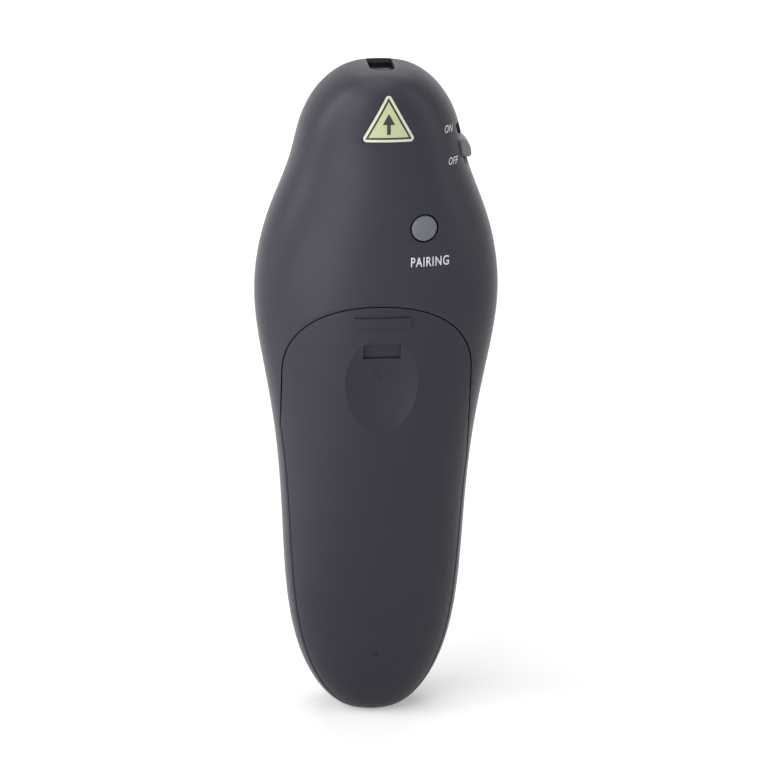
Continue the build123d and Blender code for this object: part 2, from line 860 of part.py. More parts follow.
# ---------------------------------------------------------------------------------------------------
# Power switch: a domed knob in the slot, its guide plate inside, and the slide switch that it works
# ---------------------------------------------------------------------------------------------------

knob_y_range = (slot_y - slot_width / 2 + running_gap, slot_y + slot_width / 2 - running_gap)
knob_plate_x = body_size(slot_high_z)[0] - wall - knob_plate_inset
plate_high_x = knob_plate_x + knob_plate_thickness
plate_lip = knob_plate_lip + running_gap
lever_y_range = (slot_y - lever_width / 2, slot_y + lever_width / 2)
lever_z_range = (knob_z - lever_height / 2, knob_z + lever_height / 2)

with BuildPart() as switch_knob:
    with BuildSketch(face_plane(knob_y_range[1])):
        with BuildLine():
            tail_end = (body_size(knob_low_z)[0] + knob_step, knob_low_z)
            peak = (body_size(knob_z)[0] + knob_rise, knob_z - knob_lean)
            nose_end = (body_size(knob_high_z)[0], knob_high_z)
            dome_arc = ThreePointArc(nose_end, peak, tail_end)
            Polyline(tail_end, (knob_plate_x, knob_low_z), (knob_plate_x, knob_high_z), nose_end)
        make_face()
        fillet(vertices().sort_by(Axis.X)[-2:], knob_corner)
    extrude(amount=knob_y_range[1] - knob_y_range[0])
    end_faces = switch_knob.faces().filter_by(Axis.Y)
    rim = [edge for edge in end_faces.edges() if edge.center().X > knob_plate_x + close_gap]
    fillet(rim, knob_edge)
    # grip grooves across the dome
    for share in knob_groove_places:
        place = dome_arc.position_at(share)
        with Locations(Location((place.X, slot_y, place.Y), (90, 0, 0))):
            Cylinder(knob_groove_radius, slot_width, mode=Mode.SUBTRACT)
    block(
        (knob_plate_x, plate_high_x),
        (knob_y_range[0] - plate_lip, knob_y_range[1] + plate_lip),
        (knob_z - knob_plate_half_height, knob_z + knob_plate_half_height),
    )
    # socket for the switch's lever
    block((0, plate_high_x), [lever_y_range[0] - close_gap, lever_y_range[1] + close_gap],
          [lever_z_range[0] - close_gap, lever_z_range[1] + close_gap], mode=Mode.SUBTRACT)
save(switch_knob, "switch_knob")

case_low_x = holder_half_width + case_gap
case_high_x = knob_plate_x - running_gap
case_y_range = (slot_y - case_depth / 2, slot_y + case_depth / 2)
lever_low_x = case_low_x + case_back
window_z_range = (lever_z_range[0] - running_gap, lever_z_range[1] + knob_travel + running_gap)

with BuildPart() as switch_lever:
    block((lever_low_x, plate_high_x), lever_y_range, lever_z_range)
save(switch_lever, "switch_lever")

with BuildPart() as switch_case:
    block((case_low_x, case_high_x), case_y_range, (slot_z - case_height / 2, slot_z + case_height / 2))
    for step in (-1, 0, 1):
        rod_along_y((case_low_x + case_high_x) / 2, slot_z + step * pin_pitch, pin_radius, (slot_y, board_y))
    block((lever_low_x - running_gap, reach), [lever_y_range[0] - running_gap, lever_y_range[1] + running_gap],
          window_z_range, mode=Mode.SUBTRACT)
save(switch_case, "switch_case")

# ---------------------------------------------------------------------------------------------------
# Laser: barrel with its lens, the holder on the board, the driver board behind and the window in the nose
# ---------------------------------------------------------------------------------------------------

with BuildPart() as laser_barrel:
    rod_along_z(laser_y, barrel_radius, (barrel_low_z, barrel_high_z))
    rod_along_z(laser_y, barrel_bore_radius, (lens_z, barrel_high_z), mode=Mode.SUBTRACT)
save(laser_barrel, "laser_barrel")

with BuildPart() as laser_lens:
    rod_along_z(laser_y, barrel_bore_radius - close_gap, (lens_z, lens_z + lens_thickness))
    chamfer(laser_lens.faces().sort_by(Axis.Z)[-1].edges(), lens_chamfer)
save(laser_lens, "laser_lens")

with BuildPart() as laser_holder:
    block((-holder_half_width, holder_half_width), (laser_y, board_y),
          (barrel_low_z, barrel_low_z + holder_height))
    rod_along_z(laser_y, barrel_radius + close_gap, (barrel_low_z, barrel_high_z), mode=Mode.SUBTRACT)
save(laser_holder, "laser_holder")

with BuildPart() as laser_board:
    block((-barrel_radius, barrel_radius), (laser_y - barrel_radius, board_y),
          (barrel_low_z - board_thickness, barrel_low_z))
save(laser_board, "laser_board")

with BuildPart() as laser_window:
    add(window_prism(close_gap, (window_low_z, window_high_z)))
    add(outer, mode=Mode.INTERSECT)
save(laser_window, "laser_window")
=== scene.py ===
import math

import bpy
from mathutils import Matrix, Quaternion, Vector


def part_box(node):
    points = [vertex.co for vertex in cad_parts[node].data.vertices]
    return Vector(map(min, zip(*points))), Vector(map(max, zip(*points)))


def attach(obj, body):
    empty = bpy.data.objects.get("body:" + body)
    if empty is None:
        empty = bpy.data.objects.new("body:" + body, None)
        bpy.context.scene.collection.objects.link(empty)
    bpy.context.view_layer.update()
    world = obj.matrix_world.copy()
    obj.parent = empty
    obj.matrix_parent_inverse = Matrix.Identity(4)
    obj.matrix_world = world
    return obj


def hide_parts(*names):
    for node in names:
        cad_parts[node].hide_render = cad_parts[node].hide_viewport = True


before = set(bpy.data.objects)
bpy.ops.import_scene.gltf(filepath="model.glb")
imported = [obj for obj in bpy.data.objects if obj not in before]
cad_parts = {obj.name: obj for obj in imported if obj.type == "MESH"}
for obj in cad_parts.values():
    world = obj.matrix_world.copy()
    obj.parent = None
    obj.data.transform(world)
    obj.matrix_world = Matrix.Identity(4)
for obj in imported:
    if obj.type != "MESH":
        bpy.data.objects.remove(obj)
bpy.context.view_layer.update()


# --- Camera -------------------------------------------------------------------------------
# A long lens from a little above, a few degrees to the left of the underside, and turned by
# less than a degree about its own axis, so that the clicker leans slightly to the right.
mm = 0.001
aim = Vector((1.74, 0, 56.8)) * mm
eye = Vector((-55.58, -545.40, 245.63)) * mm
lean = Quaternion((0, 0, 1), math.radians(0.93))
camera_data = bpy.data.cameras.new("camera")
camera_data.lens = 163.12
camera_data.sensor_width = 36
camera_data.clip_start = 10 * mm
camera = bpy.data.objects.new("camera", camera_data)
bpy.context.scene.collection.objects.link(camera)
camera.rotation_mode = "QUATERNION"
camera.location = eye
camera.rotation_quaternion = (aim - eye).to_track_quat("-Z", "Y") @ lean
bpy.context.scene.camera = camera


# --- Table top and studio ------------------------------------------------------------------
# A white sheet under the clicker in a white surround, a wide softbox in front on the left, one
# on each side, one above and one behind, and two low cards in front that fill the underside.
def add_node(tree, kind, settings=(), **inputs):
    """A node with its settings and inputs. An input goes by its name, or by i and its number,
    and is a plain value or the output that feeds it."""
    made = tree.nodes.new("ShaderNode" + kind)
    for name, value in dict(settings).items():
        setattr(made, name, value)
    for name, value in inputs.items():
        by_number = name[1:].isdigit()
        socket = made.inputs[int(name[1:]) if by_number else name.replace("_", " ")]
        if isinstance(value, bpy.types.NodeSocket):
            tree.links.new(value, socket)
        else:
            socket.default_value = value
    return made


def seen_directly(tree):
    """1 for a ray that comes straight, by a mirror or through glass from the eye, otherwise 0."""
    path = add_node(tree, "LightPath")
    pair = add_node(tree, "Math", {"operation": "MAXIMUM"}, i0=path.outputs["Is Camera Ray"],
                    i1=path.outputs["Is Glossy Ray"])
    return add_node(tree, "Math", {"operation": "MAXIMUM"}, i0=pair.outputs[0],
                    i1=path.outputs["Is Transmission Ray"]).outputs[0]


world = bpy.data.worlds.new("surround")
bpy.context.scene.world = world
world.use_nodes = True
surround = world.node_tree
surround.nodes.clear()
plain_white = (1, 1, 1, 1)
soft = add_node(surround, "Background", Color=plain_white, Strength=0.10)
white = add_node(surround, "Background", Color=plain_white, Strength=1.0)
chosen = add_node(surround, "MixShader", i0=seen_directly(surround), i1=soft.outputs[0],
                  i2=white.outputs[0])
add_node(surround, "OutputWorld", Surface=chosen.outputs[0])

sheet_material = bpy.data.materials.new("white sheet")
sheet_material.use_nodes = True
sheet_tree = sheet_material.node_tree
sheet_tree.nodes.clear()
paper = add_node(sheet_tree, "BsdfDiffuse", Color=(0.82, 0.82, 0.82, 1))
sheet_place = add_node(sheet_tree, "TexCoord").outputs["Object"]
reach = add_node(sheet_tree, "VectorMath", {"operation": "LENGTH"}, i0=sheet_place)
fade = add_node(sheet_tree, "MapRange", Value=reach.outputs["Value"], From_Min=0.2, From_Max=1.0,
                To_Min=0.33, To_Max=0.95)
lift = add_node(sheet_tree, "Math", {"operation": "MULTIPLY"}, i0=seen_directly(sheet_tree),
                i1=fade.outputs["Result"])
glow = add_node(sheet_tree, "Emission", Color=plain_white, Strength=lift.outputs[0])
both = add_node(sheet_tree, "AddShader", i0=paper.outputs[0], i1=glow.outputs[0])
add_node(sheet_tree, "OutputMaterial", Surface=both.outputs[0])

bpy.ops.object.select_all(action="DESELECT")
bpy.ops.mesh.primitive_plane_add(size=3.0, location=(0, 0, 0))
sheet = bpy.context.object
sheet.name = "white_sheet"
sheet.data.materials.append(sheet_material)

for name, place, target, width, height, power in (
    ("left_front_softbox", (-0.530, -0.530, 0.450), (0, 0, 0.10), 0.6, 0.7, 3.6),
    ("left_side_softbox", (-0.747, -0.065, 0.450), (0, 0, 0.10), 0.4, 0.7, 3.4),
    ("right_softbox", (0.705, -0.257, 0.400), (0, 0, 0.10), 0.35, 0.8, 1.2),
    ("rear_softbox", (0.087, 0.492, 0.800), (0, 0, 0), 0.8, 0.5, 2.4),
    ("top_softbox", (-0.050, -0.100, 1.000), (0, 0, 0.08), 0.8, 0.8, 3.5),
    ("far_card", (-0.260, -0.369, 0.002), (-0.260, -0.369, 1.0), 0.4, 0.3, 1.84),
    ("near_card", (-0.120, -0.100, 0.002), (-0.120, -0.100, 1.0), 0.12, 0.2, 0.056),
):
    lamp_data = bpy.data.lights.new(name, "AREA")
    lamp_data.shape = "RECTANGLE"
    lamp_data.size = width
    lamp_data.size_y = height
    lamp_data.energy = power
    lamp = bpy.data.objects.new(name, lamp_data)
    bpy.context.scene.collection.objects.link(lamp)
    lamp.location = place
    lamp.visible_camera = False
    lamp.rotation_mode = "QUATERNION"
    lamp.rotation_quaternion = (Vector(target) - lamp.location).to_track_quat("-Z", "Y")

bpy.context.scene.view_settings.view_transform = "Standard"


# --- Housing -------------------------------------------------------------------------------
# Two thin shells of dark grey ABS, moulded with a fine spark-eroded grain and screwed together,
# with a shadow line between them. The wall edges at the openings are just broken, and two thin
# ribs from the tail wall to the tray keep light out of the seam of the battery cover.
def grained_plastic(name, colour, roughness, grain=0.18, specular=0.35):
    """Moulded plastic: even colour with faint clouding, and a grain of a given size in mm."""
    clouding = 0.03
    grain_depth = 0.012 * mm
    material = bpy.data.materials.new(name)
    material.use_nodes = True
    tree = material.node_tree
    plastic = tree.nodes["Principled BSDF"]
    place = add_node(tree, "TexCoord").outputs["Object"]
    clouds = add_node(tree, "TexNoise", Vector=place, Scale=140.0, Detail=4.0, Roughness=0.6)
    low = tuple(channel * (1 - clouding) for channel in colour) + (1,)
    high = tuple(channel * (1 + clouding) for channel in colour) + (1,)
    tint = add_node(tree, "ValToRGB", Fac=clouds.outputs["Fac"])
    tint.color_ramp.elements[0].position, tint.color_ramp.elements[0].color = 0.35, low
    tint.color_ramp.elements[1].position, tint.color_ramp.elements[1].color = 0.65, high
    tree.links.new(tint.outputs["Color"], plastic.inputs["Base Color"])
    pores = add_node(tree, "TexNoise", Vector=place, Scale=1 / (grain * mm), Detail=3.0,
                     Roughness=0.55)
    polish = add_node(tree, "MapRange", Value=pores.outputs["Fac"], To_Min=roughness - 0.05,
                      To_Max=roughness + 0.05)
    tree.links.new(polish.outputs["Result"], plastic.inputs["Roughness"])
    relief = add_node(tree, "Bump", Height=pores.outputs["Fac"], Strength=0.6, Distance=grain_depth)
    tree.links.new(relief.outputs["Normal"], plastic.inputs["Normal"])
    plastic.inputs["Specular IOR Level"].default_value = specular
    return material


def finished(node, name, body, material, edge=0.0, crease=28):
    """The node's solid as a smooth closed mesh that stands for it, its sharp edges broken in mm."""
    piece = bpy.data.objects.new(name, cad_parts[node].data.copy())
    bpy.context.scene.collection.objects.link(piece)
    bpy.ops.object.select_all(action="DESELECT")
    bpy.context.view_layer.objects.active = piece
    piece.select_set(True)
    bpy.ops.mesh.customdata_custom_splitnormals_clear()
    bpy.ops.object.mode_set(mode="EDIT")
    bpy.ops.mesh.select_all(action="SELECT")
    bpy.ops.mesh.remove_doubles(threshold=0.001 * mm)
    bpy.ops.mesh.dissolve_limited(angle_limit=math.radians(0.1))
    bpy.ops.object.mode_set(mode="OBJECT")
    if edge:
        rounding = piece.modifiers.new("broken edges", "BEVEL")
        rounding.width = edge * mm
        rounding.segments = 2
        rounding.limit_method = "ANGLE"
        rounding.angle_limit = math.radians(32)
        bpy.ops.object.modifier_apply(modifier=rounding.name)
    bpy.ops.object.shade_smooth_by_angle(angle=math.radians(crease))
    piece.data.materials.clear()
    piece.data.materials.append(material)
    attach(piece, body)
    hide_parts(node)
    return piece


housing_grey = (0.033, 0.0315, 0.045)
housing_plastic = grained_plastic("dark grey grained ABS", housing_grey, 0.35, specular=0.22)
underside = finished("bottom_shell", "underside_housing", "handset", housing_plastic,
                     edge=0.10)
finished("top_shell", "button_side_housing", "handset", housing_plastic, edge=0.10)

rib_width, rib_depth, rib_height = 0.7, 0.48, 16.1
rib_y, rib_z = -4.09 * mm, 9.25 * mm
for name, rib_x in (("left_tail_rib", -2.7 * mm), ("right_tail_rib", 2.7 * mm)):
    bpy.ops.object.select_all(action="DESELECT")
    bpy.ops.mesh.primitive_cube_add(size=mm, location=(rib_x, rib_y, rib_z))
    tail_rib = bpy.context.object
    tail_rib.name = name
    tail_rib.scale = (rib_width, rib_depth, rib_height)
    bpy.ops.object.transform_apply(location=True, rotation=False, scale=True)
    tail_rib.data.materials.append(housing_plastic)
    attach(tail_rib, "handset")


# --- Battery cover -------------------------------------------------------------------------
# One moulding of the same plastic from its own tool, a shade darker, with a thumb dish, a nail
# slot and a grip ridge. Its ribs slide under the tray's ledges and its tongue under the housing.
cover_grey = (0.029, 0.0275, 0.040)
cover_plastic = grained_plastic("grey grained ABS of the cover", cover_grey, 0.37, specular=0.22)
finished("battery_door", "battery_cover", "door", cover_plastic, edge=0.15, crease=12)


# --- Triangular label ----------------------------------------------------------------------
# A die-cut plastic label in a shallow recess at the nose: cream rim, thin black line and a pale
# yellow-green field, with a black arrow that shows where the beam comes out.
label_corners = [Vector((-3.95, 101.6)), Vector((4.95, 101.6)), Vector((0.5, 109.4))]
label_centre = Vector((0.5, 104.2))
print_width = 2
line_start, rim_start = 0.64, 0.80
field_green = (0.52, 0.57, 0.33, 1)
line_black = (0.02, 0.025, 0.01, 1)
rim_cream = (0.67, 0.70, 0.55, 1)
label_material = bpy.data.materials.new("printed label")
label_material.use_nodes = True
label_tree = label_material.node_tree
label_place = add_node(label_tree, "TexCoord").outputs["Object"]
edge_distance = None
for first, second in zip(label_corners, label_corners[1:] + label_corners[:1]):
    outwards = Vector((second.y - first.y, first.x - second.x)).normalized()
    reached = add_node(label_tree, "VectorMath", {"operation": "DOT_PRODUCT"}, i0=label_place,
                       i1=(outwards.x, 0, outwards.y))
    past = add_node(label_tree, "Math", {"operation": "SUBTRACT"}, i0=reached.outputs["Value"],
                    i1=outwards.dot(first) * mm).outputs[0]
    if edge_distance is None:
        edge_distance = past
    else:
        edge_distance = add_node(label_tree, "Math", {"operation": "MAXIMUM"}, i0=edge_distance,
                                 i1=past).outputs[0]
inward = add_node(label_tree, "MapRange", Value=edge_distance, From_Min=-print_width * mm,
                  From_Max=0.0)
print_ramp = add_node(label_tree, "ValToRGB", Fac=inward.outputs["Result"])
print_ramp.color_ramp.interpolation = "CONSTANT"
print_ramp.color_ramp.elements[0].color = field_green
print_ramp.color_ramp.elements[1].position = line_start
print_ramp.color_ramp.elements[1].color = line_black
print_ramp.color_ramp.elements.new(rim_start).color = rim_cream
label_grain = add_node(label_tree, "TexNoise", Vector=label_place, Scale=2500.0, Detail=3.0)
label_shade = add_node(label_tree, "MapRange", Value=label_grain.outputs["Fac"], To_Min=0.92,
                       To_Max=1.08)
label_mix = add_node(label_tree, "VectorMath", {"operation": "SCALE"},
                     i0=print_ramp.outputs["Color"], Scale=label_shade.outputs["Result"])
label_shader = label_tree.nodes["Principled BSDF"]
label_tree.links.new(label_mix.outputs[0], label_shader.inputs["Base Color"])
label_shader.inputs["Roughness"].default_value = 0.38
label = finished("marker_plate", "triangular_label", "handset", label_material)


def printed(piece, name, skin, body, material, facing=-1):
    """Lays a drawn shape along Y on the skin, which faces -Y or +Y, as a film of ink."""
    film_height = 0.02 * mm
    piece.name = name
    bpy.ops.object.select_all(action="DESELECT")
    bpy.context.view_layer.objects.active = piece
    piece.select_set(True)
    bpy.ops.object.transform_apply(location=True, rotation=True, scale=True)
    bpy.ops.object.mode_set(mode="EDIT")
    bpy.ops.mesh.select_all(action="SELECT")
    bpy.ops.mesh.quads_convert_to_tris()
    bpy.ops.mesh.subdivide(number_cuts=3)
    bpy.ops.object.mode_set(mode="OBJECT")
    laid = piece.modifiers.new("laid on the skin", "SHRINKWRAP")
    laid.wrap_method = "PROJECT"
    laid.target = skin
    laid.use_project_y = True
    laid.use_positive_direction = facing < 0
    laid.use_negative_direction = facing > 0
    laid.offset = film_height
    bpy.ops.object.modifier_apply(modifier=laid.name)
    film = piece.modifiers.new("ink film", "SOLIDIFY")
    film.thickness = film_height
    film.offset = 0
    bpy.ops.object.modifier_apply(modifier=film.name)
    piece.data.materials.append(material)
    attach(piece, body)


def ink(name, colour):
    """Pad-printing ink: slightly uneven cover and a satin surface."""
    material = bpy.data.materials.new(name)
    material.use_nodes = True
    tree = material.node_tree
    place = add_node(tree, "TexCoord").outputs["Object"]
    cover_noise = add_node(tree, "TexNoise", Vector=place, Scale=6000.0, Detail=2.0)
    tint = add_node(tree, "ValToRGB", Fac=cover_noise.outputs["Fac"])
    tint.color_ramp.elements[0].position = 0.3
    tint.color_ramp.elements[0].color = tuple(channel * 0.82 for channel in colour) + (1,)
    tint.color_ramp.elements[1].position = 0.55
    tint.color_ramp.elements[1].color = colour + (1,)
    shader = tree.nodes["Principled BSDF"]
    tree.links.new(tint.outputs["Color"], shader.inputs["Base Color"])
    shader.inputs["Roughness"].default_value = 0.42
    return material


def joined(*pieces):
    """Several drawn shapes as one object."""
    bpy.ops.object.select_all(action="DESELECT")
    for piece in pieces:
        piece.select_set(True)
    bpy.context.view_layer.objects.active = pieces[0]
    bpy.ops.object.join()
    return pieces[0]


clear_of_skin = 30 * mm


def drawn_triangle(x, z, radius, turn=0, facing=-1):
    """A flat triangle in the XZ plane, clear of the side that it faces; at no turn it points up."""
    bpy.ops.object.select_all(action="DESELECT")
    bpy.ops.mesh.primitive_circle_add(vertices=3, radius=radius * mm, fill_type="NGON",
                                      location=(x * mm, facing * clear_of_skin, z * mm),
                                      rotation=(math.pi / 2, math.radians(turn), 0))
    return bpy.context.object


def drawn_bar(x, z, width, height, facing=-1):
    """A flat rectangle in the XZ plane, clear of the side that it faces."""
    bpy.ops.object.select_all(action="DESELECT")
    bpy.ops.mesh.primitive_plane_add(size=1, location=(x * mm, facing * clear_of_skin, z * mm),
                                     rotation=(math.pi / 2, 0, 0))
    bar = bpy.context.object
    bar.scale = (width * mm, height * mm, 1)
    return bar


arrow_head = drawn_triangle(label_centre.x, label_centre.y + 0.75, radius=1.15)
arrow_stem = drawn_bar(label_centre.x, label_centre.y - 0.55, width=0.6, height=1.7)
printed(joined(arrow_head, arrow_stem), "beam_arrow", label, "handset",
        ink("black ink", (0.02, 0.022, 0.012)))


# --- Laser ---------------------------------------------------------------------------------
# A turned brass barrel with a glass lens, pressed into a black holder on the board, with its
# driver board behind, and a smoked acrylic window glued into the opening at the nose.
def plated_metal(name, colour, roughness, streaks=(900.0, 900.0, 90.0)):
    """Metal with fine drawing or turning streaks and a slightly uneven polish."""
    material = bpy.data.materials.new(name)
    material.use_nodes = True
    tree = material.node_tree
    metal = tree.nodes["Principled BSDF"]
    metal.inputs["Metallic"].default_value = 1.0
    place = add_node(tree, "TexCoord").outputs["Object"]
    drawn = add_node(tree, "Mapping", Vector=place, Scale=streaks)
    lines = add_node(tree, "TexNoise", Vector=drawn.outputs["Vector"], Scale=4.0, Detail=4.0)
    tint = add_node(tree, "ValToRGB", Fac=lines.outputs["Fac"])
    tint.color_ramp.elements[0].position = 0.3
    tint.color_ramp.elements[0].color = tuple(channel * 0.8 for channel in colour) + (1,)
    tint.color_ramp.elements[1].position = 0.7
    tint.color_ramp.elements[1].color = colour + (1,)
    tree.links.new(tint.outputs["Color"], metal.inputs["Base Color"])
    polish = add_node(tree, "MapRange", Value=lines.outputs["Fac"], To_Min=roughness * 0.75,
                      To_Max=roughness * 1.25)
    tree.links.new(polish.outputs["Result"], metal.inputs["Roughness"])
    relief = add_node(tree, "Bump", Height=lines.outputs["Fac"], Strength=0.3, Distance=0.01 * mm)
    tree.links.new(relief.outputs["Normal"], metal.inputs["Normal"])
    return material


def clear_plastic(name, colour, roughness, ior=1.49):
    """Transparent moulding with the faint haze and scuffs of a handled part."""
    material = bpy.data.materials.new(name)
    material.use_nodes = True
    tree = material.node_tree
    glass = tree.nodes["Principled BSDF"]
    glass.inputs["Base Color"].default_value = colour + (1,)
    glass.inputs["Transmission Weight"].default_value = 1.0
    glass.inputs["IOR"].default_value = ior
    place = add_node(tree, "TexCoord").outputs["Object"]
    haze = add_node(tree, "TexNoise", Vector=place, Scale=1800.0, Detail=5.0)
    polish = add_node(tree, "MapRange", Value=haze.outputs["Fac"], To_Min=roughness * 0.5,
                      To_Max=roughness * 1.8)
    tree.links.new(polish.outputs["Result"], glass.inputs["Roughness"])
    return material


holder_plastic = grained_plastic("black moulded ABS", (0.020, 0.020, 0.022), 0.48, grain=0.3)
brass = plated_metal("turned brass", (0.72, 0.52, 0.24), 0.28, streaks=(200.0, 200.0, 2600.0))
finished("laser_window", "beam_window", "handset",
         clear_plastic("smoked acrylic", (0.10, 0.06, 0.06), 0.12, ior=1.12), edge=0.05)
finished("laser_barrel", "laser_barrel_turned", "handset", brass, edge=0.10)
finished("laser_lens", "laser_lens_ground", "handset",
         clear_plastic("lens glass", (0.86, 0.92, 0.95), 0.02, ior=1.52))
finished("laser_holder", "laser_holder_block", "handset", holder_plastic, edge=0.12)


# --- Power switch --------------------------------------------------------------------------
# A light grey knob with fine grip grooves slides in a slot in the side and carries the lever of
# a small slide switch in a folded steel case. ON and OFF are pad-printed beside the slot.
knob_plastic = grained_plastic("light grey grained ABS", (0.20, 0.215, 0.235), 0.46)
case_steel = plated_metal("tinned steel of the switch", (0.60, 0.60, 0.60), 0.34)
switch_plastic = grained_plastic("black nylon", (0.022, 0.022, 0.022), 0.42, grain=0.4)
white_ink = ink("white ink", (0.74, 0.75, 0.80))
finished("switch_knob", "power_knob_grooved", "power_knob", knob_plastic, edge=0.04)
finished("switch_lever", "power_switch_lever", "power_knob", switch_plastic,
         edge=0.05)
finished("switch_case", "power_switch_case", "handset", case_steel, edge=0.08)


def printed_word(name, word, x, z, width, height, turn=0):
    """A word in condensed capitals on the underside, in mm, turned clockwise by some degrees."""
    bpy.ops.object.select_all(action="DESELECT")
    bpy.ops.object.text_add(rotation=(math.pi / 2, math.radians(turn), 0))
    lettering = bpy.context.object
    lettering.data.body = word
    lettering.data.align_x = "CENTER"
    lettering.data.align_y = "CENTER"
    lettering.data.offset = 0.012
    lettering.data.space_character = 1.12
    bpy.ops.object.convert(target="MESH")
    bpy.ops.object.origin_set(type="ORIGIN_GEOMETRY", center="BOUNDS")
    lettering.location = (x * mm, -clear_of_skin, z * mm)
    lettering.dimensions = (width * mm, height * mm, 0)
    printed(lettering, name, underside, "handset", white_ink)


printed_word("on_word", "ON", x=10.6, z=102.55, width=1.42, height=1.18, turn=8)
printed_word("off_word", "OFF", x=11.4, z=97.4, width=1.65, height=1.22, turn=8)


# --- Pairing button ------------------------------------------------------------------------
# A small round grey ABS button beside the middle of the underside, over a tact switch soldered
# to the near face of the board, with its name pad-printed below.
button_plastic = grained_plastic("mid grey grained ABS", (0.150, 0.160, 0.190), 0.50)
finished("pairing_button", "pairing_button_cap", "pairing_key", button_plastic,
         edge=0.12)
finished("pairing_switch", "pairing_tact_switch", "handset", switch_plastic,
         edge=0.08)
printed_word("pairing_word", "PAIRING", x=7.55, z=81.62, width=6.3, height=1.62)


# --- Buttons of the upper side -------------------------------------------------------------
# Soft-touch rubber-coated caps for previous, next, laser and blank screen, each over its own
# tact switch, with plain white signs, and a clear light pipe that carries the lamp's light out.
soft_black = grained_plastic("black soft-touch coat", (0.024, 0.024, 0.027), 0.62, grain=0.10,
                             specular=0.25)
soft_red = grained_plastic("red soft-touch coat", (0.36, 0.030, 0.028), 0.58, grain=0.10,
                           specular=0.25)
cap_edge = 0.18
previous_cap = finished("previous_button", "previous_button_cap", "previous_key", soft_black,
                        cap_edge)
next_cap = finished("next_button", "next_button_cap", "next_key", soft_black, cap_edge)
laser_cap = finished("laser_button", "laser_button_cap", "laser_key", soft_red,
                     cap_edge)
blank_cap = finished("blank_button", "blank_button_cap", "blank_key", soft_black, cap_edge)
finished("tact_switches", "tact_switch_row", "handset", switch_plastic, edge=0.08)

upper = 1
page_x, page_z, page_radius = 5.6, 72.0, 1.9
printed(drawn_triangle(page_x, page_z, page_radius, 90, upper), "next_sign", next_cap, "next_key",
        white_ink, upper)
printed(drawn_triangle(-page_x, page_z, page_radius, -90, upper), "previous_sign", previous_cap,
        "previous_key", white_ink, upper)
beam_stem = drawn_bar(0, 90.0, width=0.5, height=2.8, facing=upper)
beam_head = drawn_triangle(0, 92.0, radius=0.9, facing=upper)
printed(joined(beam_stem, beam_head), "laser_sign", laser_cap, "laser_key", white_ink,
        upper)
screen_z, screen_width, screen_height, screen_line = 54.5, 3.2, 2.4, 0.4
rail_z = (screen_height - screen_line) / 2
stile_x = (screen_width - screen_line) / 2
screen_rails = [drawn_bar(0, screen_z + rise, screen_width, screen_line, upper)
                for rise in (rail_z, -rail_z)]
screen_stiles = [drawn_bar(side, screen_z, screen_line, screen_height - 2 * screen_line, upper)
                 for side in (-stile_x, stile_x)]
printed(joined(*screen_rails, *screen_stiles), "blank_sign", blank_cap, "blank_key",
        white_ink, upper)

finished("light_pipe", "lamp_light_pipe", "handset",
         clear_plastic("clear acrylic", (0.90, 0.93, 0.94), 0.12), edge=0.10)
finished("status_led", "status_lamp", "handset",
         clear_plastic("clear epoxy of the lamp", (0.95, 0.90, 0.75), 0.20, ior=1.53), edge=0.06)


# --- Battery tray --------------------------------------------------------------------------
# A black ABS moulding that closes the battery bay, holds the cells in a trough and carries the
# ledges for the cover, with printed polarity signs at the tail. Three zinc-plated cross-head
# screws fix it to the shell behind.
tray = finished("battery_tray", "battery_tray_moulding", "handset", holder_plastic,
                edge=0.08)
sign_x, sign_z, sign_length, sign_line = 5.4, 13.4, 1.7, 0.45
plus = joined(drawn_bar(sign_x, sign_z, sign_length, sign_line),
              drawn_bar(sign_x, sign_z, sign_line, sign_length))
minus = drawn_bar(-sign_x, sign_z, sign_length, sign_line)
printed(plus, "plus_sign", tray, "handset", white_ink)
printed(minus, "minus_sign", tray, "handset", white_ink)
zinc = plated_metal("zinc plate", (0.52, 0.53, 0.55), 0.36, streaks=(500.0, 500.0, 500.0))
finished("tray_screws", "tray_screw_set", "handset", zinc, edge=0.08)


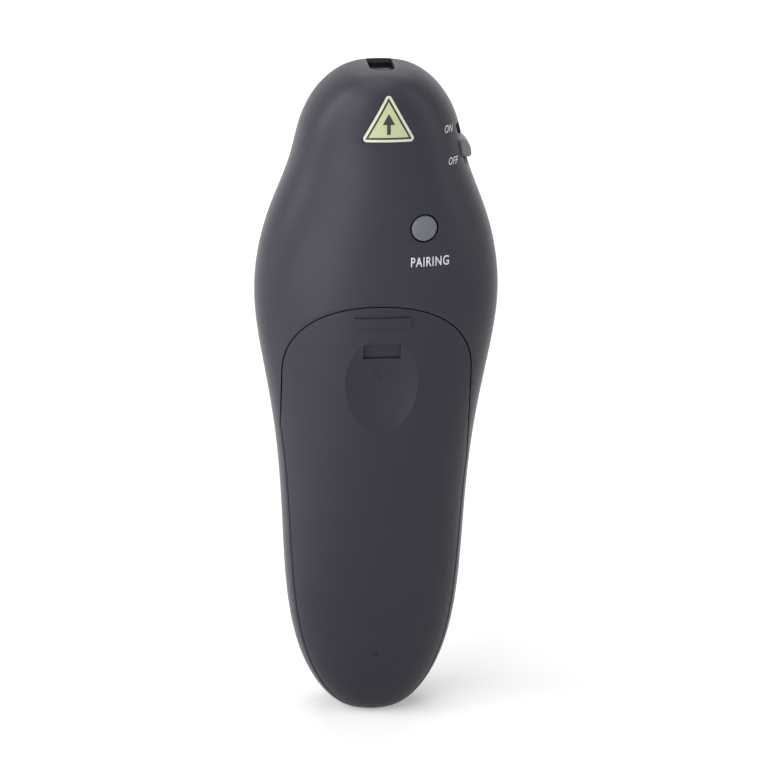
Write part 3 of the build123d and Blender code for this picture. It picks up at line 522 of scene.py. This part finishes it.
# --- Cells and contacts --------------------------------------------------------------------
# Two unmarked AAA cells: a steel can in a printed shrink sleeve, bare at the ends, with a dark
# band at the positive end. Nickel-plated spring steel plates and coil springs press on them.
def cell_sleeve(name, low, high, positive_up):
    """Steel can from a low to a high Z, its sleeve with a dark band between two light lines."""
    steel, sleeve = (0.62, 0.61, 0.58, 1), (0.045, 0.17, 0.20, 1)
    light_line, dark_band = (0.55, 0.57, 0.58, 1), (0.02, 0.03, 0.035, 1)
    sleeve_start, first_line, band_start, second_line, sleeve_end = 0.02, 0.70, 0.715, 0.93, 0.945
    bare_metal, printed_metal = plain_white, (0.3, 0.3, 0.3, 1)
    material = bpy.data.materials.new(name)
    material.use_nodes = True
    tree = material.node_tree
    shader = tree.nodes["Principled BSDF"]
    place = add_node(tree, "TexCoord").outputs["Object"]
    parts = add_node(tree, "SeparateXYZ", Vector=place)
    share = add_node(tree, "MapRange", Value=parts.outputs["Z"], From_Min=low, From_Max=high,
                     To_Min=0.0 if positive_up else 1.0, To_Max=1.0 if positive_up else 0.0)
    bands = add_node(tree, "ValToRGB", Fac=share.outputs["Result"])
    bands.color_ramp.interpolation = "CONSTANT"
    bands.color_ramp.elements[0].color = steel
    bands.color_ramp.elements[1].position = sleeve_start
    bands.color_ramp.elements[1].color = sleeve
    for position, colour in ((first_line, light_line), (band_start, dark_band),
                             (second_line, light_line), (sleeve_end, steel)):
        bands.color_ramp.elements.new(position).color = colour
    specks = add_node(tree, "TexNoise", Vector=place, Scale=900.0, Detail=4.0)
    shade = add_node(tree, "MapRange", Value=specks.outputs["Fac"], To_Min=0.88, To_Max=1.12)
    mixed = add_node(tree, "VectorMath", {"operation": "SCALE"}, i0=bands.outputs["Color"],
                     Scale=shade.outputs["Result"])
    tree.links.new(mixed.outputs[0], shader.inputs["Base Color"])
    bare = add_node(tree, "ValToRGB", Fac=share.outputs["Result"])
    bare.color_ramp.interpolation = "CONSTANT"
    bare.color_ramp.elements[0].color = bare_metal
    bare.color_ramp.elements[1].position = sleeve_start
    bare.color_ramp.elements[1].color = printed_metal
    bare.color_ramp.elements.new(sleeve_end).color = bare_metal
    tree.links.new(bare.outputs["Color"], shader.inputs["Metallic"])
    polish = add_node(tree, "MapRange", Value=specks.outputs["Fac"], To_Min=0.26, To_Max=0.40)
    tree.links.new(polish.outputs["Result"], shader.inputs["Roughness"])
    return material


for node, name, positive_up in (
    ("cell_left", "left_cell_sleeved", True),
    ("cell_right", "right_cell_sleeved", False),
):
    low_corner, high_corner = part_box(node)
    finished(node, name, "handset",
             cell_sleeve(name.replace("_", " "), low_corner.z, high_corner.z, positive_up))
nickel = plated_metal("nickel plate", (0.66, 0.63, 0.56), 0.26)
for plate in ("bridge_contact", "positive_contact", "negative_contact"):
    finished(plate, plate + "_plate", "handset", nickel, edge=0.06)
finished("cell_springs", "cell_spring_pair", "handset", nickel)


# --- Circuit board -------------------------------------------------------------------------
# A glass-epoxy board under green solder mask, with the laser's driver board, a radio chip, a
# control chip, a crystal, ceramic capacitors and a bent steel antenna at the tail end.
board_material = bpy.data.materials.new("green solder mask")
board_material.use_nodes = True
board_tree = board_material.node_tree
board_shader = board_tree.nodes["Principled BSDF"]
board_place = add_node(board_tree, "TexCoord").outputs["Object"]
flat = add_node(board_tree, "Mapping", Vector=board_place, Rotation=(math.pi / 2, 0, 0))
mask_green, pale_mask_green = (0.010, 0.110, 0.040, 1), (0.012, 0.125, 0.048, 1)
track_green = (0.035, 0.26, 0.10, 1)
tracks = add_node(board_tree, "TexBrick", Vector=flat.outputs["Vector"], Scale=420.0,
                  Mortar_Size=0.03, Color1=mask_green, Color2=pale_mask_green, Mortar=track_green)
mask_noise = add_node(board_tree, "TexNoise", Vector=board_place, Scale=300.0, Detail=3.0)
mask_shade = add_node(board_tree, "MapRange", Value=mask_noise.outputs["Fac"], To_Min=0.85,
                      To_Max=1.15)
mask = add_node(board_tree, "VectorMath", {"operation": "SCALE"}, i0=tracks.outputs["Color"],
                Scale=mask_shade.outputs["Result"])
board_tree.links.new(mask.outputs[0], board_shader.inputs["Base Color"])
track_relief = add_node(board_tree, "Bump", Height=tracks.outputs["Fac"], Strength=0.4,
                        Distance=0.03 * mm)
board_tree.links.new(track_relief.outputs["Normal"], board_shader.inputs["Normal"])
board_shader.inputs["Roughness"].default_value = 0.30
finished("circuit_board", "circuit_board_masked", "handset", board_material, edge=0.05)
finished("laser_board", "laser_driver_board", "handset", board_material, edge=0.05)

epoxy = grained_plastic("black moulding epoxy", (0.016, 0.016, 0.018), 0.55, grain=0.12)
finished("radio_chip", "radio_chip_package", "handset", epoxy)
finished("control_chip", "control_chip_package", "handset", epoxy)
finished("crystal_can", "crystal_pressed_can", "handset", case_steel, edge=0.10)
finished("capacitors", "ceramic_capacitors", "handset",
         grained_plastic("tan ceramic", (0.42, 0.30, 0.18), 0.5, grain=0.2), edge=0.06)
finished("antenna", "bent_antenna", "handset", nickel, edge=0.05)
